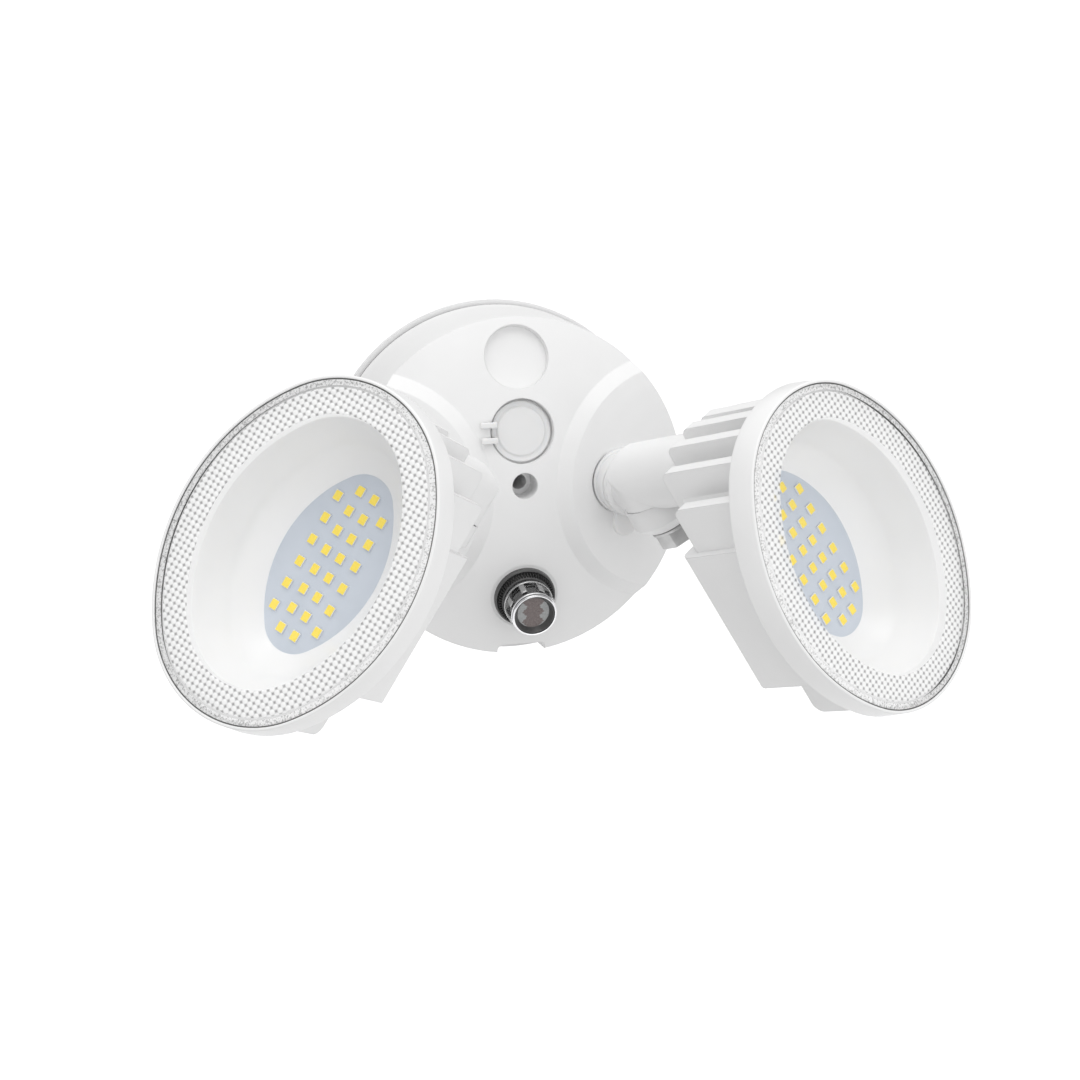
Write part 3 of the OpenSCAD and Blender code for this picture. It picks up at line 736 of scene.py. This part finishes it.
def sensor_eye(place):
    """Black cup with the cell in its floor: a fine grid of points, raised where the metal films lie."""
    s = Shell()
    cup = [(0, -5.4), (6.2, -5.4), (6.2, -12.5), (7.4, -12.5),
           (7.4, -15.0), (7.15, -15.0), (6.0, -12.85), (0, -12.8)]
    s.lathe(fillet(cup, [0, 0.2, 0.1, 0.2, 0.1, 0.1, 0.2, 0]), 120, 0, False)
    step, cell_r, floor_y, film = 0.12, 6.0, -12.87, 0.06
    n = int(cell_r / step)
    ids = {}
    for i in range(-n, n + 1):
        for j in range(-n, n + 1):
            x, z = i * step, j * step
            if math.hypot(x, z) <= cell_r:
                ids[i, j] = len(s.v)
                s.v.append((x, floor_y - film * electrode(x, z), z))
    for i, j in ids:
        q = [ids.get(k) for k in ((i, j), (i + 1, j), (i + 1, j + 1), (i, j + 1))]
        if None not in q:
            s.f.append(tuple(q))
            s.m.append(1)
    obj = piece("sensor_eye_v", s, place, "canopy", [lighter_black.mat, eye.mat], ["sensor_eye"])
    mark(obj, "track", "FLOAT", place, lambda p: electrode(p.x, p.z))


for side in ("right", "left"):
    lens(side)
    bezel(side)
    reflector(side)
    leds(side)
    led_board(side)
    hub_parts(side)
    clamp_screw(side)
for make in (sensor_nut, sensor_cap, sensor_ring, sensor_eye):
    make(dome_frame(SENSOR_T))
flap()

# ---------------------------------------------------------------- floor, light and camera
scene = bpy.context.scene
FLOOR_Z, FLOOR_HALF = -0.62, 30
floor_mesh = bpy.data.meshes.new("floor")
corners = ((-1, -1), (1, -1), (1, 1), (-1, 1))
floor_mesh.from_pydata([(x * FLOOR_HALF, y * FLOOR_HALF, FLOOR_Z) for x, y in corners], [], [(0, 1, 2, 3)])
floor = bpy.data.objects.new("floor", floor_mesh)
scene.collection.objects.link(floor)
floor_paint = Paint("floor")
floor_paint.link(floor_paint.ramp(floor_paint.noise(1.5, 2), (0.3, grey(0.93)), (0.7, grey(0.95))),
                 floor_paint.bsdf.inputs["Base Color"])
floor_paint.set(Roughness=0.9, Emission_Color=(1, 1, 1, 1), Emission_Strength=0.35)
floor_mesh.materials.append(floor_paint.mat)
floor.visible_diffuse = False


def studio():
    """World light: soft and brighter from above and the right, dark flags in mirrors, white behind."""
    world = bpy.data.worlds.new("studio")
    scene.world = world
    world.use_nodes = True
    shaders, links = world.node_tree.nodes, world.node_tree.links

    def span(socket, lo, hi):
        """Stretches a direction's -1 to 1 over lo to hi."""
        n = shaders.new("ShaderNodeMapRange")
        n.inputs["From Min"].default_value = -1
        n.inputs["To Min"].default_value = lo
        n.inputs["To Max"].default_value = hi
        links.new(socket, n.inputs["Value"])
        return n.outputs["Result"]

    def ramp(socket, stops):
        """Grey that follows a socket through (position, tone) stops."""
        n = shaders.new("ShaderNodeValToRGB")
        elements = n.color_ramp.elements
        while len(elements) < len(stops):
            elements.new(0.5)
        for element, (position, tone) in zip(elements, stops):
            element.position = position
            element.color = (*grey(tone), 1)
        links.new(socket, n.inputs["Fac"])
        return n.outputs["Color"]

    def mix(factor, a, b):
        n = shaders.new("ShaderNodeMixShader")
        links.new(factor, n.inputs["Fac"])
        links.new(a, n.inputs[1])
        links.new(b, n.inputs[2])
        return n.outputs[0]

    direction = shaders.new("ShaderNodeSeparateXYZ")
    links.new(shaders.new("ShaderNodeTexCoord").outputs["Generated"], direction.inputs[0])
    height = span(direction.outputs["Z"], 0, 1)
    light = shaders["Background"]
    links.new(ramp(height, ((0.0, 0.74), (0.42, 0.82), (0.52, 0.92), (1.0, 1.0))), light.inputs["Color"])
    links.new(span(direction.outputs["X"], 0.80, 1.08), light.inputs["Strength"])
    # softboxes and dark flags that only shiny surfaces mirror
    bands = ((0.0, 0.25), (0.30, 0.30), (0.42, 0.95), (0.53, 1.0),
             (0.56, 0.22), (0.70, 0.30), (0.78, 1.1), (1.0, 1.2))
    mirrored = shaders.new("ShaderNodeBackground")
    links.new(ramp(height, bands), mirrored.inputs["Color"])
    backdrop = shaders.new("ShaderNodeBackground")
    backdrop.inputs["Color"].default_value = (1, 1, 1, 1)
    backdrop.inputs["Strength"].default_value = 1.1
    path = shaders.new("ShaderNodeLightPath")
    lit = mix(path.outputs["Is Glossy Ray"], light.outputs[0], mirrored.outputs[0])
    shown = mix(path.outputs["Is Camera Ray"], lit, backdrop.outputs[0])
    links.new(shown, shaders["World Output"].inputs["Surface"])


def lamp(name, place, size, watts):
    """Soft rectangular lamp, in metres, aimed at the middle of the light."""
    data = bpy.data.lights.new(name, "AREA")
    data.shape = "RECTANGLE"
    data.size, data.size_y = size
    data.energy = watts
    obj = bpy.data.objects.new(name, data)
    obj.location = place
    obj.rotation_mode = "QUATERNION"
    obj.rotation_quaternion = (AIM - Vector(place)).to_track_quat("-Z", "Y")
    scene.collection.objects.link(obj)


AIM = Vector((0, -0.08, 0))
studio()
lamp("key", (-0.3, -0.6, 1.5), (1.4, 1.0), 8)
lamp("fill", (0.3, -1.8, -0.1), (1.2, 1.0), 3)

# the photo's viewpoint in metres, and the directions that it looks along and holds upright
EYE = (-0.19327, -0.83447, 0.15375)
LOOK = Vector((0.24087, 0.94793, -0.20835)).normalized()
UPRIGHT = Vector((0.0746, 0.19595, 0.97777))
FOCAL, SENSOR_W = 75.36, 36

scene.view_settings.view_transform = "Standard"
cam_data = bpy.data.cameras.new("camera")
cam_data.sensor_width = SENSOR_W
cam_data.lens = FOCAL
cam_data.clip_start = 0.05
cam = bpy.data.objects.new("camera", cam_data)
across = LOOK.cross(UPRIGHT).normalized()
axes = zip(across, across.cross(LOOK), -LOOK, EYE)
cam.matrix_world = Matrix([*axes, (0, 0, 0, 1)])
scene.collection.objects.link(cam)
scene.camera = cam
